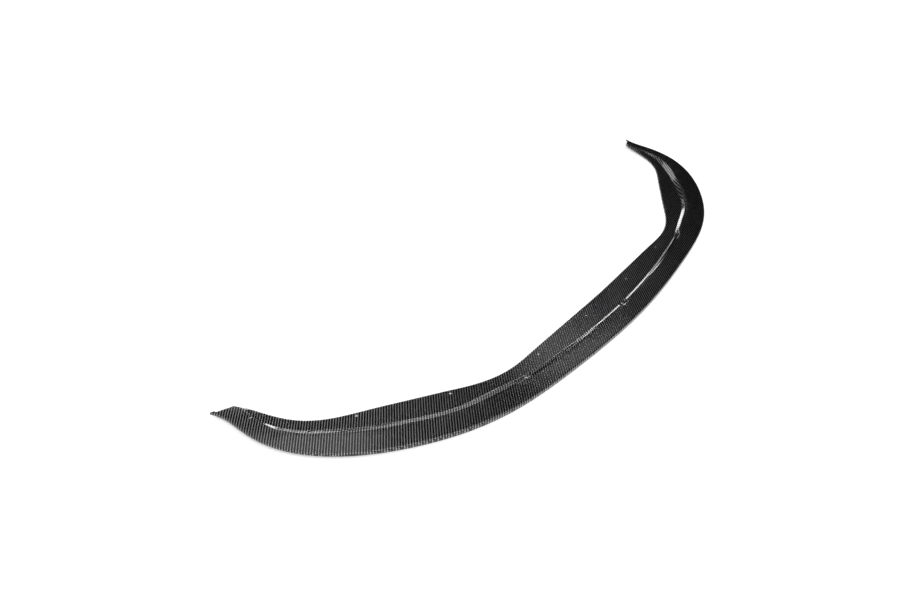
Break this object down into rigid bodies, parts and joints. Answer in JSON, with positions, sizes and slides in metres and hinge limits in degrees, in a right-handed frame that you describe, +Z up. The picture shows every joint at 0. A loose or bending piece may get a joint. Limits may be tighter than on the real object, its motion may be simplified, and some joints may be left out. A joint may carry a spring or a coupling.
{
  "type": "front splitter lip",
  "caption": "Wide C-shaped front splitter lip in gloss woven carbon laminate, with a raised blade, a bead and a low drilled mounting band that screws up under a car's front bumper.",
  "frame": {"origin": "centre of the bounding box in plan, on the surface the lip lies on", "axes": "+X along the lip from its left to its right tip, -Y ahead of the car, +Z up"},
  "size_m": [1.8, 0.535, 0.0153],
  "materials": {
    "carbon": "twill carbon weave under a gloss clear coat"
  },
  "bodies": {
    "root": {"splitter_lip": "carbon"}
  },
  "joints": []
}
